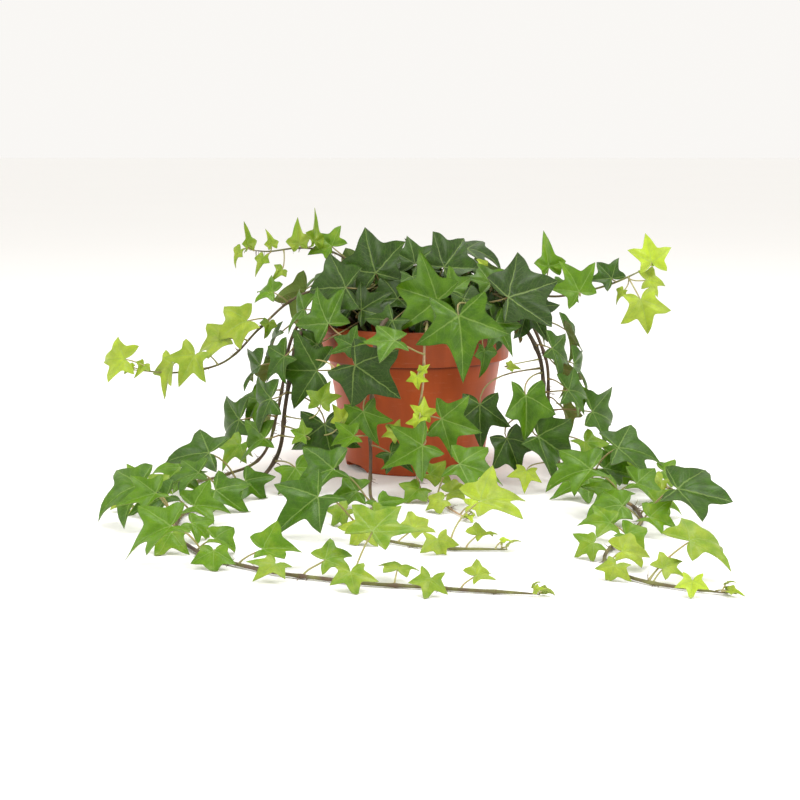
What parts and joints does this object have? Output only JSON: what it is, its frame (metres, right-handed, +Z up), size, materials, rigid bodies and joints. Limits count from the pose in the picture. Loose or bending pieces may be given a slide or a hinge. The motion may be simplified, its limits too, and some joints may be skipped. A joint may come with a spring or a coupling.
{
  "type": "potted ivy",
  "caption": "Ivy with lobed leaves in a round plastic grower's pot: a leafy crown, arching shoots, and long stems that come over the rim and lie along the surface.",
  "frame": {"origin": "centre of the pot's flat base, on the surface it stands on", "axes": "+Z up along the pot's axis, -Y towards the front, where the long stems lie, +X to the right seen from the front"},
  "size_m": [0.3979, 0.4445, 0.1628],
  "materials": {
    "terracotta_plastic": "satin",
    "compost": "matte",
    "ivy_stem": "satin",
    "ivy_leaf": "satin",
    "young_ivy_leaf": "satin"
  },
  "bodies": {
    "root": {"pot": "terracotta_plastic", "potting_compost": "compost", "left_trailing_stem": "ivy_stem", "right_trailing_stem": "ivy_stem", "front_trailing_stem": "ivy_stem", "front_sprig_stem": "ivy_stem", "left_side_stem": "ivy_stem", "right_side_stem": "ivy_stem", "left_arching_stem": "ivy_stem", "upper_left_stem": "ivy_stem", "right_arching_stem": "ivy_stem", "crown_front_stem": "ivy_stem", "crown_left_stem": "ivy_stem", "crown_right_stem": "ivy_stem", "crown_back_stem": "ivy_stem", "back_drooping_stem": "ivy_stem", "crown_leaf_01": "ivy_leaf", "crown_leaf_02": "ivy_leaf", "crown_leaf_03": "ivy_leaf", "crown_leaf_04": "ivy_leaf", "crown_leaf_05": "ivy_leaf", "crown_leaf_06": "ivy_leaf", "crown_leaf_07": "ivy_leaf", "crown_leaf_08": "ivy_leaf", "crown_leaf_09": "ivy_leaf", "crown_leaf_10": "ivy_leaf", "crown_leaf_11": "young_ivy_leaf", "crown_leaf_12": "ivy_leaf", "crown_leaf_13": "young_ivy_leaf", "crown_leaf_14": "ivy_leaf", "crown_leaf_15": "ivy_leaf", "crown_leaf_16": "ivy_leaf", "crown_leaf_17": "ivy_leaf", "crown_leaf_18": "ivy_leaf", "pot_front_leaf_01": "young_ivy_leaf", "pot_front_leaf_02": "ivy_leaf", "pot_front_leaf_03": "ivy_leaf", "pot_front_leaf_04": "ivy_leaf", "pot_front_leaf_05": "ivy_leaf", "pot_front_leaf_06": "ivy_leaf", "left_arch_leaf_01": "young_ivy_leaf", "left_arch_leaf_02": "young_ivy_leaf", "left_arch_leaf_03": "young_ivy_leaf", "right_arch_leaf_01": "young_ivy_leaf", "right_arch_leaf_02": "young_ivy_leaf", "left_trail_leaf_01": "ivy_leaf", "left_trail_leaf_02": "ivy_leaf", "left_trail_leaf_03": "ivy_leaf", "left_trail_leaf_04": "ivy_leaf", "right_trail_leaf_01": "ivy_leaf", "right_trail_leaf_02": "ivy_leaf", "right_trail_leaf_03": "ivy_leaf", "right_trail_leaf_04": "ivy_leaf", "front_trail_leaf_01": "ivy_leaf", "front_trail_leaf_02": "ivy_leaf", "front_trail_leaf_03": "ivy_leaf", "front_sprig_leaf_01": "ivy_leaf", "left_side_leaf_01": "ivy_leaf", "right_side_leaf_01": "ivy_leaf", "back_drooping_leaf_01": "ivy_leaf"}
  },
  "joints": []
}
